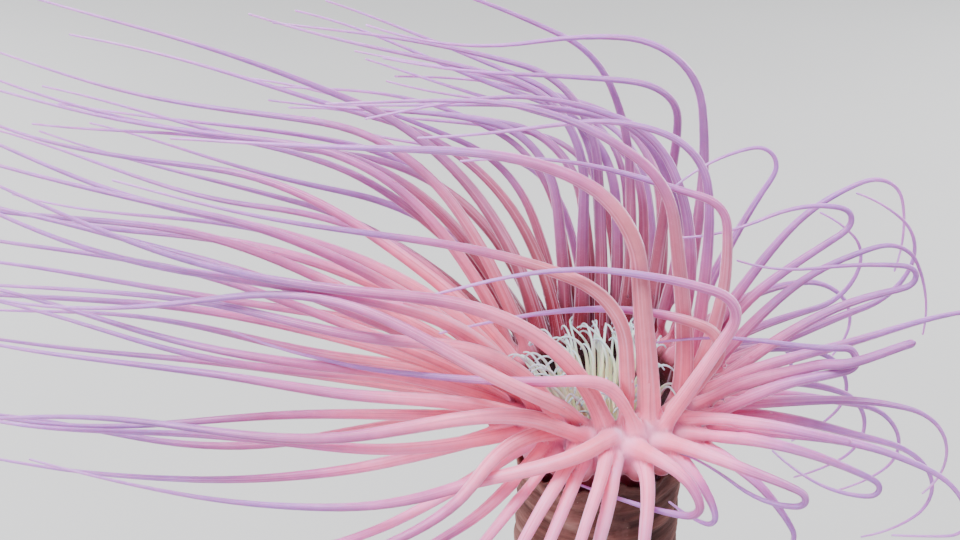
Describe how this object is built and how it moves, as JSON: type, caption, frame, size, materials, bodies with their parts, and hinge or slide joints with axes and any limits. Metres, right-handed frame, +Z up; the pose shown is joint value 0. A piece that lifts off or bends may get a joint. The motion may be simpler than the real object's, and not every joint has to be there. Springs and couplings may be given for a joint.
{
  "type": "tube-dwelling sea anemone",
  "caption": "Life-size still model of a tube anemone in its parchment tube on a round base, its crown of long slender tentacles streaming sideways in a current.",
  "frame": {"origin": "centre of the underside of the round base, on the floor", "axes": "+Z up along the tube, +X upstream, so the crown streams towards -X, +Y away from the viewer"},
  "size_m": [0.2554, 0.1111, 0.2553],
  "materials": {
    "tentacle": "moist translucent flesh, salmon pink at the roots to lilac at the tips",
    "labial": "moist translucent flesh, cream roots to pale blue-white hooked tips",
    "disc": "moist flesh, blackish maroon",
    "column": "moist flesh, dark maroon",
    "tube": "rough wrinkled parchment of felted threads and mud, banded across",
    "stand": "satin slate grey"
  },
  "bodies": {
    "root": {"column_collar": "column", "column_foot": "column", "column_trunk": "column", "crown_sector_01": "tentacle", "crown_sector_02": "tentacle", "crown_sector_03": "tentacle", "crown_sector_04": "tentacle", "crown_sector_05": "tentacle", "crown_sector_06": "tentacle", "crown_sector_07": "tentacle", "crown_sector_08": "tentacle", "crown_sector_09": "tentacle", "crown_sector_10": "tentacle", "crown_sector_11": "tentacle", "crown_sector_12": "tentacle", "crown_sector_13": "tentacle", "crown_sector_14": "tentacle", "crown_sector_15": "tentacle", "crown_sector_16": "tentacle", "crown_sector_17": "tentacle", "crown_sector_18": "tentacle", "crown_sector_19": "tentacle", "crown_sector_20": "tentacle", "crown_sector_21": "tentacle", "crown_sector_22": "tentacle", "crown_sector_23": "tentacle", "crown_sector_24": "tentacle", "labial_tentacles_1": "labial", "labial_tentacles_2": "labial", "labial_tentacles_3": "labial", "labial_tentacles_4": "labial", "labial_tentacles_5": "labial", "labial_tentacles_6": "labial", "mouth_lips": "labial", "oral_disc": "disc", "stand_base": "stand", "tentacle_01_outer": "tentacle", "tentacle_04_outer": "tentacle", "tentacle_05_outer": "tentacle", "tentacle_06_outer": "tentacle", "tentacle_07_outer": "tentacle", "tentacle_08_outer": "tentacle", "tentacle_09_outer": "tentacle", "tentacle_10_outer": "tentacle", "tentacle_11_outer": "tentacle", "tentacle_12_outer": "tentacle", "tentacle_13_outer": "tentacle", "tentacle_14_outer": "tentacle", "tentacle_15_outer": "tentacle", "tentacle_16_outer": "tentacle", "tentacle_17_outer": "tentacle", "tentacle_18_outer": "tentacle", "tentacle_19_outer": "tentacle", "tentacle_20_outer": "tentacle", "tentacle_21_outer": "tentacle", "tentacle_23_outer": "tentacle", "tube_foot": "tube", "tube_middle": "tube", "tube_mouth": "tube"}
  },
  "joints": []
}
